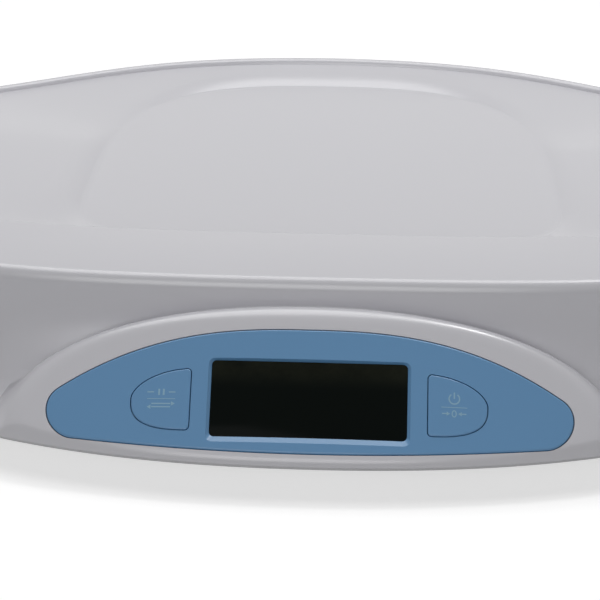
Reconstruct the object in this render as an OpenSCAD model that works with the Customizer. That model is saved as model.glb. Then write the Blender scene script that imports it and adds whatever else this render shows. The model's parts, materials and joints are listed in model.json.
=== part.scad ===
// Digital baby weighing scale: a white dish on a hollow casing, with a sloping blue console at the
// front that carries a display window and two buttons, standing on four load-cell feet.
// X is to the right, -Y is towards the user, Z is up. The origin is the bottom centre of the whole
// scale, on the surface that the feet stand on. Millimetres throughout.

/* [Tray] */
// Length of the tray from end to end
tray_w = 520; // [500:1:540]
// Depth of the tray from its front lip to its back rim
tray_d = 302; // [296:1:310]
// Height of the flat floor of the tray
floor_h = 66; // [64:0.5:68]
// Height of the front flange
flange_h = 71; // [70:0.5:74]
// Height of the rim at the middle of the back
back_rim_h = 74; // [72:0.5:78]
// Height of the rim at the two ends
end_rim_h = 80; // [78:0.5:84]
// Height of the rim at its low points, on the back corners
low_rim_h = 70; // [69.5:0.5:73]
// Depth of the flat front flange
flange_d = 51.5; // [48:0.5:55]
// Width of the rim along the ends and the back
rim_w = 7.5; // [7:0.1:10]
// Radius of the rolled front lip
lip_r = 5; // [4.5:0.5:6]
// Wall thickness of the casing
wall = 2.6; // [2.2:0.1:2.8]
// Width of the flat floor between its two side creases
floor_w = 212; // [206:1:226]
// Width of the sloping wall behind the floor
back_wall_w = 22; // [16:0.5:26]
// Height of the short step from the floor up to the sloping sides of the dish
step_h = 3.5; // [2:0.1:4.5]
// Width of that step
step_w = 12; // [8:0.5:16]

/* [Console] */
// How far the console stands out in front of the tray's lip
console_reach = 48; // [47:0.5:52]
// Angle of the console's face from the horizontal
face_tilt = 48; // [47:0.5:49]
// Radius of the console's face, which bows out in the middle
face_bow_r = 700; // [620:10:900]
// Height of the casing's bottom edge
skirt_h = 14; // [13.5:0.1:14.5]
// Height of the panel's lower edge at the middle
face_h = 19; // [18.5:0.1:20]
// Distance from the casing's front edge back to the panel's lower edge
face_inset = 2; // [1.5:0.1:2.5]
// Width of the arched shoulder of the console at its foot
arch_w = 239; // [236:1:248]
// Height of the arched shoulder, measured up the face
arch_h = 61.5; // [60.5:0.5:62.5]
// Radius of the rounded shoulder
shoulder_r = 12; // [10:0.5:13]
// How far the casing's foot is drawn in from the rim at each end
end_draw_in = 10; // [6:1:16]
// How far the casing's foot is drawn in from the rim at the back
back_draw_in = 15; // [10:1:20]

/* [Panel] */
// Width of the blue panel
panel_w = 204.5; // [196:0.5:207]
// Height of the blue panel at the middle, measured up the face
panel_h = 49.3; // [47:0.1:50]
// Radius of the panel's two lower corners
panel_corner_r = 10.6; // [8:0.1:11]
// Thickness of the panel
panel_t = 2.5; // [2.2:0.1:2.8]
// How far the panel stands proud of the white casing
panel_proud = 0.3; // [0.1:0.1:0.6]
// Gap round the panel in its opening
panel_gap = 0.3; // [0.2:0.05:0.5]
// Width of the holding flange behind the casing's wall
panel_flange_w = 1.3; // [1:0.1:1.5]

/* [Display] */
// Width of the display window
window_w = 76; // [68:0.5:77]
// Height of the display window
window_h = 30.5; // [26:0.5:31]
// Distance from the panel's lower edge up to the window
window_low = 6.4; // [5.8:0.1:7.5]
// Corner radius of the window
window_r = 1.9; // [1:0.1:3]
// Depth of the shallow frame round the window
frame_depth = 1; // [0.6:0.1:1.4]
// Width of the shallow frame at the sides of the window
frame_w = 1.2; // [0.8:0.1:1.6]
// Width of the shallow frame under the window
frame_low_w = 2.3; // [1.6:0.1:2.8]

/* [Buttons] */
// Distance between the two buttons' straight sides
button_gap = 91.6; // [90:0.2:94]
// Width of a button
button_w = 23; // [20:0.2:23.4]
// Height of a button
button_h = 24.3; // [20:0.1:25]
// Distance from the panel's lower edge up to the buttons' middle
button_mid = 18.6; // [18:0.1:22]
// Gap round each button in the panel
button_play = 0.3; // [0.2:0.05:0.4]
// How far a button stands proud of the panel
button_proud = 0.3; // [0.1:0.1:0.5]

/* [Feet] */
// Distance between the feet from side to side
foot_span_x = 320; // [300:2:330]
// Distance between the feet from front to back
foot_span_y = 160; // [150:2:170]
// Radius of a foot cup
foot_r = 15; // [13:0.5:16]
// How far a foot cup can drop when the scale is lifted
foot_play = 0.6; // [0.4:0.1:0.9]
// Thickness of the rubber pad under a foot
pad_t = 2.5; // [2:0.1:3]
// Width of the square load cell
cell_w = 27; // [25:0.5:28]

/* [Batteries] */
// Diameter of an AA cell
cell_d = 14.5; // [14:0.1:14.5]
// Length of an AA cell
cell_l = 50.5; // [49:0.5:51]
// Distance between the middles of neighbouring cells
cell_pitch = 15.2; // [15:0.1:16]
// Distance of the battery box behind the middle of the scale
battery_y = 40; // [34:1:46]

/* [Hidden] */
CORNERS = ["fl", "fr", "bl", "br"];
$fn = 48;
tiny = 0.01;

// Places shared by the shell's outlines.
y_back = (tray_d + console_reach) / 2;
y_front = -y_back;
y_lip = y_front + console_reach;
y_mid = 10;
face_y = y_front + face_inset;
front_step_w = 3;
rim_square = 1.83;
floor_square = 2.8;
wall_top_r = 2.5;
arch_square = 2.15;
lip_drop = 2;
step_share = 0.45;
rise_power = 1.5;

// Columns of the shell lie on rays from y_mid: close together over the console, and further apart
// round the ends and the back, where the angle t runs evenly round an ellipse.
front_span = 135;
front_cols = 36;
round_cols = 46;
ray_flatness = 0.55;
front_reach = y_mid - y_front;
front_edge = atan(front_span / front_reach);
round_start = atan2(-cos(front_edge) / ray_flatness, sin(front_edge));
round_turn = 180 - 2 * round_start;
ray_angles = concat(
    [for (i = [0:front_cols - 1]) atan2(-front_reach, (2 * i / front_cols - 1) * front_span)],
    [for (i = [0:round_cols - 1])
        let (t = round_start + round_turn * i / round_cols) atan2(ray_flatness * sin(t), cos(t))]
);

// Distance from the middle to an oval, given its half sizes and how square it is.
function oval(angle, half_w, back, front, square_back, square_front) =
    let (s = sin(angle),
         half_d = s > 0 ? back : front,
         n = s > 0 ? square_back : square_front)
    pow(pow(abs(cos(angle)) / half_w, n) + pow(abs(s) / half_d, n), -1 / n);

// The shell's four outlines: the floor's crease, the inside of the rim, the lip, and the foot.
function floor_oval(angle, grow) =
    oval(angle, floor_w / 2 + grow, y_back - rim_w - back_wall_w - y_mid + grow,
         y_mid - y_lip - flange_d - front_step_w + grow, floor_square, 6);
function inner_oval(angle, grow) =
    oval(angle, tray_w / 2 - rim_w + grow, y_back - rim_w - y_mid + grow,
         y_mid - y_lip - flange_d + grow, rim_square, 4);
function outer_oval(angle, grow) =
    oval(angle, tray_w / 2 + grow, y_back - y_mid + grow, y_mid - y_lip + grow, rim_square, 3);
function foot_oval(angle, grow) =
    oval(angle, tray_w / 2 - end_draw_in + grow, y_back - back_draw_in - y_mid + grow,
         y_mid - y_front + grow, 2, 2.2);
function ring(r, angle, z) = [r * cos(angle), y_mid + r * sin(angle), z];

// Eases from 0 to 1.
function ramp(x) = let (t = min(1, max(0, x))) t * t * (3 - 2 * t);

// Height of the rim: level along the front, and behind it high in the middle and at the ends, with
// a dip at each back corner.
function rim_h(angle) =
    let (c = min(1, abs(outer_oval(angle, 0) * cos(angle) / (tray_w / 2))),
         high = back_rim_h + (end_rim_h - back_rim_h) * c * c,
         dip = (back_rim_h + end_rim_h) / 2 - low_rim_h)
    sin(angle) > 0
        ? high - dip * pow((1 - cos(4 * acos(c))) / 2, 2)
        : flange_h + (end_rim_h - flange_h) * pow(c, 4);

// The console's sloping face, how far it bows back at x, and how its arched shoulder falls away.
function sag(x) = face_bow_r - sqrt(face_bow_r * face_bow_r - x * x);
function face_z(x, y) = face_h + (y - face_y) * tan(face_tilt) - sag(x) / cos(face_tilt);
function arch_drop(x, y, in) =
    let (s = max(0, (y - face_y) / cos(face_tilt) - sag(x) / sin(face_tilt) / cos(face_tilt)),
         a = arch_w / 2 - in / 2,
         b = arch_h - in / 2,
         rho = max(0.001, pow(pow(abs(x) / a, arch_square) + pow(s / b, arch_square), 1 / arch_square)),
         past = norm([x, s]) * (1 - 1 / rho),
         bend = max(0, past + 0.75 * shoulder_r))
    bend * bend / (2 * shoulder_r);
function soft_max(a, b, k) =
    let (d = b - a) d > k ? b : d < -k ? a : a + (d + k) * (d + k) / (4 * k);

// One point of the casing under the lip: v runs from the lip (0) to the top of the foot band (1).
function side_point(angle, v, in) =
    let (front = ramp((-sin(angle) - 0.1) / 0.5),
         out = front * (1 - cos(90 * v)) + (1 - front) * v,
         down = front * sin(90 * v) + (1 - front) * v,
         r = outer_oval(angle, -in) * (1 - out) + foot_oval(angle, -in) * out,
         x = r * cos(angle),
         y = y_mid + r * sin(angle),
         top = rim_h(angle) - lip_r - lip_drop,
         cove = top - (top - face_h + face_inset + in) * down,
         face = face_z(x, y) - arch_drop(x, y, in) - in / cos(face_tilt))
    [x, y, sin(angle) < 0 ? soft_max(cove, face, 0.1 + 18 * min(0.25, 1 - v)) : cove];

// One point of the dish: t runs from the floor's crease (0) to the top of its wall (1). The wall
// has a short rounded step at its foot, at most step_share of its height, and rises gently above.
function dish_point(angle, t, in) =
    let (low = floor_oval(angle, 0.3 * in),
         high = inner_oval(angle, in),
         total = rim_h(angle) - wall_top_r - floor_h,
         step = min(step_h, step_share * total),
         left = 1 - min(1, t * (high - low) / step_w))
    ring(low * (1 - t) + high * t, angle,
         floor_h - in + step * (1 - left * left) + (total - step) * pow(t, rise_power));

// One column of a sheet of the shell, from the dish over the rim and down to the bottom edge.
function column(angle, in, dish_steps, top_steps, lip_steps, side_steps) =
    let (h = rim_h(angle),
         top_r = max(0.4, wall_top_r - in),
         edge_h = lip_r - in,
         edge_w = min(edge_h, rim_w - wall_top_r - in - 0.8))
    concat(
        [ring(0.55 * floor_oval(angle, 0), angle, floor_h - in)],
        [for (t = dish_steps) dish_point(angle, t, in)],
        [for (a = top_steps) ring(inner_oval(angle, in + top_r * (1 - cos(a))), angle,
                                  h - in - top_r * (1 - sin(a)))],
        [for (a = lip_steps) ring(outer_oval(angle, -in - edge_w * (1 - sin(a))), angle,
                                  h - in - edge_h * (1 - cos(a)))],
        [for (v = side_steps) side_point(angle, v, in)],
        [ring(foot_oval(angle, -in), angle, skirt_h)]
    );

// Closes an outer and an inner sheet of columns into one skin, with an edge between them.
module skin(outer, inner, outer_mid, inner_mid) {
    n = len(outer);
    m = len(outer[0]);
    k = len(inner[0]);
    points = concat([outer_mid, inner_mid], [for (c = outer) each c], [for (c = inner) each c]);
    function o(i, j) = 2 + (i % n) * m + j;
    function w(i, j) = 2 + n * m + (i % n) * k + j;
    faces = [for (i = [0:n - 1]) each concat(
        [[0, o(i + 1, 0), o(i, 0)], [1, w(i, 0), w(i + 1, 0)]],
        [for (j = [0:m - 2]) each [[o(i, j), o(i + 1, j), o(i + 1, j + 1)],
                                   [o(i, j), o(i + 1, j + 1), o(i, j + 1)]]],
        [for (j = [0:k - 2]) each [[w(i, j), w(i + 1, j + 1), w(i + 1, j)],
                                   [w(i, j), w(i, j + 1), w(i + 1, j + 1)]]],
        [[o(i, m - 1), o(i + 1, m - 1), w(i + 1, k - 1)],
         [o(i, m - 1), w(i + 1, k - 1), w(i, k - 1)]]
    )];
    polyhedron(points, faces, convexity = 8);
}

// Lays a flat thing on the console's face: x along the panel, y up the face, z out of it.
module on_face() {
    translate([0, face_y, face_h])
        rotate([face_tilt, 0, 0])
            children();
}

// Turns a distance up the bowed face at x into a distance up the flat one.
function lift(x) = sag(x) / tan(face_tilt);

// The panel's outline: an arch over two round corners and a straight foot.
tip_angle = 52;
arch_steps = 24;
tip_x = panel_w / 2 - panel_corner_r;
arch_x = tip_x + panel_corner_r * cos(tip_angle);
arch_fall = panel_h - panel_corner_r * (1 + sin(tip_angle));
half_outline = concat(
    [for (i = [0:4]) [tip_x * i / 5, 0]],
    [for (a = [-90:18:tip_angle]) [tip_x + panel_corner_r * cos(a), panel_corner_r * (1 + sin(a))]],
    [for (i = [0:arch_steps - 1])
        let (x = arch_x * (1 - i / arch_steps)) [x, panel_h - arch_fall * pow(x / arch_x, 2.52)]]
);
left_outline = [for (i = [len(half_outline) - 1:-1:1]) [-half_outline[i][0], half_outline[i][1]]];
panel_outline = [for (p = concat(half_outline, [[0, panel_h]], left_outline))
    [p[0], p[1] + lift(p[0])]];
function grown(points, by) =
    let (n = len(points))
    [for (i = [0:n - 1])
        let (d = points[(i + 1) % n] - points[(i + n - 1) % n], out = [d[1], -d[0]] / norm(d))
        points[i] + by * out];

module face_prism(points, low, high) {
    translate([0, 0, low])
        linear_extrude(height = high - low)
            polygon(points);
}

// All that lies under the bowed face, up to a height above it.
module bowed_face(high, length = 3 * panel_h) {
    translate([0, length / 2, -face_bow_r])
        rotate([90, 0, 0])
            cylinder(r = face_bow_r + high, h = length, $fn = 720);
}

module bowed_layer(low, high) {
    difference() {
        bowed_face(high);
        bowed_face(low, 4 * panel_h);
    }
}

module rounded_box(x0, x1, y0, y1, z0, z1, r) {
    translate([0, 0, z0])
        linear_extrude(height = z1 - z0)
            union() {
                translate([x0 + r, y0]) square([x1 - x0 - 2 * r, y1 - y0]);
                translate([x0, y0 + r]) square([x1 - x0, y1 - y0 - 2 * r]);
                for (x = [x0 + r, x1 - r], y = [y0 + r, y1 - r])
                    translate([x, y]) circle(r, $fn = 24);
            }
}

module block(x0, x1, y0, y1, z0, z1) {
    translate([x0, y0, z0])
        cube([x1 - x0, y1 - y0, z1 - z0]);
}

// Fixings between the tray and the base.
case_screw_spots = [[-97, 8], [97, 8], [-80, 100], [80, 100], [-85, -50], [85, -50]];
boss_r = 4.5;
screw_r = 1.5;
screw_play = 0.1;
screw_head_r = 3;
screw_head_h = 2.2;
boss_low = floor_h - 11;
boss_top = floor_h - wall / 2;
screw_bite = 7;

module tray_shell() {
    outer_steps = [0, 0.02, 0.045, 0.08, 0.2, 0.4, 0.6, 0.8, 1];
    color("whitesmoke")
        difference() {
            union() {
                skin([for (a = ray_angles) column(a, 0, outer_steps, [45, 90], [0:22.5:90],
                                                  [for (i = [0:14]) i / 14])],
                     [for (a = ray_angles) column(a, wall, [0, 0.08, 0.4, 1], [90], [0, 45, 90],
                                                  [for (i = [0:12]) i / 12])],
                     [0, y_mid, floor_h], [0, y_mid, floor_h - wall]);
                for (p = case_screw_spots)
                    translate([p[0], p[1], boss_low])
                        cylinder(r = boss_r, h = boss_top - boss_low, $fn = 24);
            }
            for (p = case_screw_spots)
                translate([p[0], p[1], boss_low - 1])
                    cylinder(r = screw_r + screw_play, h = screw_bite + 2, $fn = 24);
            on_face()
                face_prism(grown(panel_outline, panel_gap), -2 * wall - sag(panel_w / 2), 2 * wall);
        }
}

// The base: a plate inside the casing's foot, with a well over each foot and a tower for each screw.
plate_t = 2.5;
base_play = 0.4;
plate_top = face_h - face_inset - wall - 0.3;
plate_low = plate_top - plate_t;
well_r = cell_w * 0.5 * sqrt(2) + 1.2;
well_wall = 1.8;
well_ceiling = plate_low + 9.5;
well_top = well_ceiling + 2.2;
well_hole_r = 9;
tower_r = 5.2;
tower_top = boss_low - 0.2;
tower_floor = 3.8;
foot_spots = [for (y = [-1, 1], x = [-1, 1]) [x * foot_span_x / 2, y * foot_span_y / 2]];

box_wall = 1.6;
box_play = 0.4;
contact_room = 3;
box_w = 4 * cell_pitch + 0.6;
box_l = cell_l + 2 * contact_room;
door_t = 2;
door_play = 0.4;
door_w = box_w + 1;
door_l = box_l + 2;
hinge_r = 1.2;
hinge_y = battery_y - door_l / 2;
hinge_z = plate_low + hinge_r;
hinge_pin_r = 0.8;
hinge_pin_l = 2;
hinge_pin_play = 0.08;
latch_w = 12;
latch_l = 3;

module hinge_bar(length, r) {
    translate([-length / 2, hinge_y, hinge_z])
        rotate([0, 90, 0])
            cylinder(r = r, h = length, $fn = 32);
}

module base_shell() {
    color("gainsboro")
        difference() {
            union() {
                translate([0, 0, plate_low])
                    linear_extrude(height = plate_t)
                        polygon([for (a = ray_angles)
                            let (r = foot_oval(a, -wall - base_play)) [r * cos(a), y_mid + r * sin(a)]]);
                for (p = foot_spots)
                    translate([p[0], p[1], plate_low])
                        cylinder(r = well_r + well_wall, h = well_top - plate_low);
                for (p = case_screw_spots)
                    translate([p[0], p[1], plate_low])
                        cylinder(r = tower_r, h = tower_top - plate_low, $fn = 32);
            }
            for (p = foot_spots)
                translate([p[0], p[1], 0]) {
                    cylinder(r = well_r, h = well_ceiling);
                    cylinder(r = well_hole_r, h = well_top + 1);
                }
            for (p = case_screw_spots)
                translate([p[0], p[1], 0]) {
                    cylinder(r = screw_head_r + 0.4, h = tower_top - tower_floor, $fn = 32);
                    cylinder(r = screw_r + 0.3, h = tower_top + 1, $fn = 24);
                }
            block(-door_w / 2 - door_play, door_w / 2 + door_play, hinge_y - hinge_r - door_play,
                  battery_y + door_l / 2 + door_play, plate_low - 1, plate_top + 1);
            hinge_bar(door_w + 2 * hinge_pin_l + 1, hinge_pin_r + hinge_pin_play);
            block(-latch_w / 2 - door_play, latch_w / 2 + door_play,
                  battery_y, battery_y + door_l / 2 + latch_l + door_play, plate_low - 1, plate_top + 1);
        }
}

// The panel and the stack behind its window. Depths are measured into the console.
flange_depth = wall + 1.4;
panel_flange_t = 1.2;
panel_edge_w = 2;
flange_outline = [for (p = grown(panel_outline, panel_flange_w)) [p[0], max(p[1], lift(p[0]))]];
lens_depth = 2.3;
lens_play = 0.15;
lens_wall = 1.4;
frame_top_w = 0.5;
lens_t = 1.1;
glass_t = 2;
glass_depth = lens_depth + lens_t + 0.2;
board_depth = 10.4;
board_t = 1.6;
window_mid = window_low + window_h / 2;
stack_w = window_w + 6;
stack_h = window_h + 4;
board_w = 156;
board_low = 7;
board_high = 38;
post_x = board_w / 2 - 4;
post_r = 2.5;
post_spots = [for (x = [-post_x, post_x], y = [12, 27]) [x, y]];

module window_cut(w, h, low, high, r) {
    rounded_box(-w / 2, w / 2, window_mid - h / 2, window_mid + h / 2, low, high, r);
}

// A ring between an outline and the inside of the panel's edge.
module bowed_ring(outline, low, high) {
    intersection() {
        difference() {
            face_prism(outline, -20, 5);
            face_prism(grown(panel_outline, -panel_edge_w), -21, 6);
        }
        bowed_layer(low, high);
    }
}

// A button's outline: straight towards the window, round away from it, and fuller below its
// middle than above. side is -1 or 1.
button_corner_r = 1.6;
button_low_square = 2.8;
button_high_square = 1.8;
function button_outline(side, grow) =
    let (h = button_h / 2,
         flat = button_gap / 2,
         r = button_corner_r,
         raw = concat(
             [for (a = [180:30:270]) [flat + r + r * cos(a), -h + r + r * sin(a)]],
             [for (a = [-81:9:72])
                 let (n = a < 0 ? button_low_square : button_high_square)
                 [flat + button_w * pow(cos(a), 2 / n), h * sign(a) * pow(abs(sin(a)), 2 / n)]],
             [for (a = [90:30:180]) [flat + r + r * cos(a), h - r + r * sin(a)]]),
         turned = side > 0 ? raw : [for (i = [len(raw) - 1:-1:0]) [-raw[i][0], raw[i][1]]])
    [for (p = grown(turned, grow)) [p[0], p[1] + button_mid + lift(button_gap / 2 + button_w / 2)]];

module control_panel() {
    color("steelblue")
        on_face()
            difference() {
                union() {
                    intersection() {
                        face_prism(panel_outline, -20, 5);
                        bowed_layer(panel_proud - panel_t, panel_proud);
                    }
                    bowed_ring(panel_outline, -flange_depth - panel_flange_t, -panel_t / 2);
                    bowed_ring(flange_outline, -flange_depth - panel_flange_t, -flange_depth);
                    window_cut(stack_w + 2 * lens_wall, stack_h + 2 * lens_wall, -lens_depth - lens_t,
                               panel_proud - panel_t + 0.5, 1);
                    for (p = post_spots)
                        translate([p[0], p[1] + lift(p[0]), -board_depth])
                            cylinder(r = post_r, h = board_depth - sag(post_x) - panel_t / 2);
                }
                window_cut(window_w, window_h, -20, 5, window_r);
                window_cut(stack_w + 2 * lens_play, stack_h + 2 * lens_play, -20, -lens_depth, lens_play);
                intersection() {
                    rounded_box(-window_w / 2 - frame_w, window_w / 2 + frame_w, window_low - frame_low_w,
                                window_low + window_h + frame_top_w, -20, 5, window_r);
                    bowed_layer(-frame_depth, 5);
                }
                for (side = [-1, 1])
                    face_prism(button_outline(side, button_play), -20, 5);
                for (p = post_spots)
                    translate([p[0], p[1] + lift(p[0]), -board_depth - 1])
                        cylinder(r = 1, h = 4.5, $fn = 24);
            }
}

module stack_layer(w, h, depth, t) {
    on_face()
        block(-w / 2, w / 2, window_mid - h / 2, window_mid + h / 2, -depth - t, -depth);
}

module display_lens() {
    color("black")
        stack_layer(stack_w, stack_h, lens_depth, lens_t);
}

module lcd_glass() {
    color("darkslategray")
        stack_layer(stack_w - 4, stack_h - 3.4, glass_depth, glass_t);
}

strip_w = 2;
module contact_strips() {
    color("dimgray")
        for (y = [window_mid - stack_h / 2 + 3, window_mid + stack_h / 2 - 3 - strip_w])
            on_face()
                block(-stack_w / 2 + 5, stack_w / 2 - 5, y, y + strip_w,
                      -board_depth, -glass_depth - glass_t);
}

module backlight_panel() {
    color("white")
        stack_layer(stack_w - 8, stack_h - 2 * (3 + strip_w) - 1, glass_depth + glass_t + 0.1, 2.6);
}

module lcd_frame() {
    color("white")
        on_face()
            difference() {
                window_cut(stack_w, stack_h, -board_depth, -lens_depth - lens_t, 1);
                window_cut(stack_w - 3.2, stack_h - 2.6, -board_depth - 1, 0, 0.2);
            }
}

module main_board() {
    color("darkgreen")
        on_face()
            difference() {
                block(-board_w / 2, board_w / 2, board_low, board_high, -board_depth - board_t, -board_depth);
                for (p = post_spots)
                    translate([p[0], p[1] + lift(p[0]), -board_depth - board_t - 1])
                        cylinder(r = 1.4, h = board_t + 2, $fn = 24);
            }
}

board_back = board_depth + board_t;
part_spots = [[-44, 24, 9, 9, 1.6], [-30, 30, 6, 4, 1.2], [30, 26, 10, 6, 1.8], [46, 31, 5, 3, 1],
              [52, 24, 4, 3, 1], [-58, 30, 3, 2, 0.8], [-52, 33, 3, 2, 0.8], [38, 34, 3, 2, 0.8]];
module board_parts() {
    color("black")
        on_face() {
            for (p = part_spots)
                block(p[0] - p[2] / 2, p[0] + p[2] / 2, p[1] - p[3] / 2, p[1] + p[3] / 2,
                      -board_back - p[4], -board_back);
            translate([-34, 20, -board_back - 1.4])
                cylinder(r = 4, h = 1.4);
            translate([20, 34, -board_back - 5])
                cylinder(r = 2.5, h = 5);
        }
}

socket_w = 34;
socket_y = 28;
socket_h = 5;
socket_depth = 4;
module cable_socket() {
    color("ivory")
        on_face()
            block(-socket_w / 2, socket_w / 2, socket_y - socket_h / 2, socket_y + socket_h / 2,
                  -board_back - socket_depth, -board_back);
}

module board_screws() {
    color("silver")
        on_face()
            for (p = post_spots)
                translate([p[0], p[1] + lift(p[0]), 0]) {
                    translate([0, 0, -board_back - 1.4])
                        cylinder(r = 2, h = 1.4, $fn = 24);
                    translate([0, 0, -board_back - tiny])
                        cylinder(r = 0.9, h = board_t + 3, $fn = 24);
                }
}

// Buttons: a curved cap with a wider foot behind the panel and a stem on the switch's plunger.
foot_depth = 6.5;
foot_t = 1;
switch_top = 8.3;
button_x = button_gap / 2 + button_w / 2;
button_y = button_mid + lift(button_x);
module button_cap(side) {
    on_face() {
        intersection() {
            face_prism(button_outline(side, 0), -foot_depth - foot_t, 5);
            bowed_face(panel_proud + button_proud);
        }
        face_prism(button_outline(side, 1), -foot_depth - foot_t, -foot_depth);
    }
}

module hold_button() {
    color("steelblue")
        button_cap(-1);
}

module zero_button() {
    color("steelblue")
        button_cap(1);
}

switch_w = 6.2;
plunger_r = 1.6;
plunger_l = 1.7;
plunger_play = 0.2;
module plunger(side) {
    color("black")
        on_face()
            translate([side * button_x, button_y, -foot_depth - foot_t - plunger_l])
                cylinder(r = plunger_r, h = plunger_l, $fn = 24);
}

module hold_plunger() {
    plunger(-1);
}

module zero_plunger() {
    plunger(1);
}

module tact_switch(side) {
    color("silver")
        on_face()
            translate([side * button_x, button_y, -board_depth])
                difference() {
                    translate([-switch_w / 2, -switch_w / 2, 0])
                        cube([switch_w, switch_w, board_depth - switch_top]);
                    translate([0, 0, 0.4])
                        cylinder(r = plunger_r + plunger_play, h = board_depth, $fn = 24);
                }
}

module hold_switch() {
    tact_switch(-1);
}

module zero_switch() {
    tact_switch(1);
}

module case_screws() {
    head_top = tower_top - tower_floor;
    color("silver")
        for (p = case_screw_spots)
            translate([p[0], p[1], head_top - screw_head_h])
                difference() {
                    union() {
                        cylinder(r = screw_head_r, h = screw_head_h, $fn = 32);
                        cylinder(r = screw_r, h = screw_head_h + tower_floor + screw_bite - 0.5, $fn = 24);
                    }
                    for (a = [0, 90])
                        rotate([0, 0, a])
                            translate([-2, -0.4, -1])
                                cube([4, 0.8, 2]);
                }
}

// Battery compartment: an upside-down box over the opening, its door, and what it holds.
battery_z = plate_top + 1 + cell_d / 2;
box_top = battery_z + cell_d / 2 + 0.6 + box_wall;
module battery_box() {
    color("gainsboro")
        translate([0, battery_y, 0])
            difference() {
                block(-box_w / 2 - box_wall, box_w / 2 + box_wall, -box_l / 2 - box_wall,
                      box_l / 2 + box_wall, plate_top, box_top);
                block(-box_w / 2, box_w / 2, -box_l / 2, box_l / 2, plate_top - 1, box_top - box_wall);
                for (x = [-battery_lead_x, battery_lead_x])
                    translate([x, 0, box_top - 4])
                        rotate([90, 0, 0])
                            cylinder(r = 1.2, h = box_l, $fn = 24);
            }
}

module battery_door() {
    color("gainsboro")
        difference() {
            union() {
                block(-door_w / 2, door_w / 2, hinge_y, battery_y + door_l / 2,
                      plate_low, plate_low + door_t);
                block(-latch_w / 2, latch_w / 2, battery_y, battery_y + door_l / 2 + latch_l,
                      plate_low, plate_low + door_t);
                hinge_bar(door_w, hinge_r);
                hinge_bar(door_w + 2 * hinge_pin_l, hinge_pin_r);
            }
            for (i = [-2:2])
                block(-14, 14, battery_y + 8 + 3 * i, battery_y + 9.2 + 3 * i,
                      plate_low - 1, plate_low + 0.6);
        }
}

contact_t = 0.4;
module battery_contacts() {
    color("silver")
        for (i = [0:3], end = [-1, 1]) {
            x = (i - 1.5) * cell_pitch;
            y = battery_y + end * (box_l / 2 - contact_t / 2 - 0.1);
            block(x - 5, x + 5, y - contact_t / 2, y + contact_t / 2, battery_z - 5, battery_z + 5);
            translate([x, y - end * contact_t / 2, battery_z])
                rotate([90 * end, 0, 0])
                    cylinder(r = 2.6, h = contact_room - contact_t - 1.2, $fn = 24);
        }
}

module battery(i) {
    turn = i % 2 == 0 ? 1 : -1;
    nub = 1;
    color("dimgray")
        translate([(i - 1.5) * cell_pitch, battery_y, battery_z])
            rotate([90 * turn, 0, 0]) {
                translate([0, 0, -cell_l / 2])
                    cylinder(d = cell_d, h = cell_l - nub);
                translate([0, 0, cell_l / 2 - nub - tiny])
                    cylinder(d = cell_d * 0.38, h = nub, $fn = 24);
            }
}

// Feet: the load cell's rim bears on the well's ceiling and its middle on the foot cup, which is
// held in the well by a ring and can drop a little when the scale is lifted.
pad_r = foot_r - 1.5;
pad_recess = 1.3;
cup_low = pad_t - pad_recess;
ring_t = 2;
flange_t = 1.6;
flange_low = plate_low + ring_t + foot_play + 0.1;
flange_r = well_r - 0.8;
load_cell_t = 2;
load_cell_low = well_ceiling - load_cell_t;
boss_cup_r = 4;

module load_cell(p) {
    tongue_w = 9;
    slot = 2.2;
    color("silver")
        translate([p[0], p[1], load_cell_low])
            difference() {
                block(-cell_w / 2, cell_w / 2, -cell_w / 2, cell_w / 2, 0, load_cell_t);
                for (x = [-1, 1])
                    block(x * (tongue_w + slot) / 2 - slot / 2, x * (tongue_w + slot) / 2 + slot / 2,
                          -cell_w / 2 + 5, cell_w / 2 - 5, -1, load_cell_t + 1);
                block(-tongue_w / 2 - slot, tongue_w / 2 + slot, cell_w / 2 - 5 - slot, cell_w / 2 - 5,
                      -1, load_cell_t + 1);
            }
}

module retainer(p) {
    color("gainsboro")
        translate([p[0], p[1], plate_low])
            difference() {
                cylinder(r = well_r - 0.1, h = ring_t);
                translate([0, 0, -1])
                    cylinder(r = foot_r + 0.6, h = ring_t + 2);
            }
}

module foot_cup(p) {
    color("white")
        translate([p[0], p[1], 0])
            difference() {
                union() {
                    translate([0, 0, cup_low])
                        cylinder(r = foot_r, h = flange_low - cup_low + tiny);
                    translate([0, 0, flange_low])
                        cylinder(r = flange_r, h = flange_t);
                    translate([0, 0, flange_low])
                        cylinder(r = boss_cup_r, h = load_cell_low - flange_low);
                }
                translate([0, 0, cup_low - 1])
                    cylinder(r = pad_r + 0.1, h = pad_recess + 1);
            }
}

module foot_pad(p) {
    color("dimgray")
        translate([p[0], p[1], 0])
            cylinder(r = pad_r, h = pad_t);
}

// A cable of round section swept along its route, square to it at both ends.
module cable(route, r, sides) {
    n = len(route);
    function way(i) =
        let (d = route[min(n - 1, i + 1)] - route[max(0, i - 1)]) d / norm(d);
    function frame_x(i) = let (c = cross(way(i), [0.1, 0.2, 1])) c / norm(c);
    points = [for (i = [0:n - 1], k = [0:sides - 1])
        let (a = 360 * k / sides, side = frame_x(i))
            route[i] + r * (cos(a) * side + sin(a) * cross(way(i), side))];
    faces = concat(
        [[for (k = [0:sides - 1]) k]],
        [[for (k = [sides - 1:-1:0]) (n - 1) * sides + k]],
        [for (i = [0:n - 2], k = [0:sides - 1])
            [i * sides + k, (i + 1) * sides + k,
             (i + 1) * sides + (k + 1) % sides, i * sides + (k + 1) % sides]]
    );
    polyhedron(points, faces);
}

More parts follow.
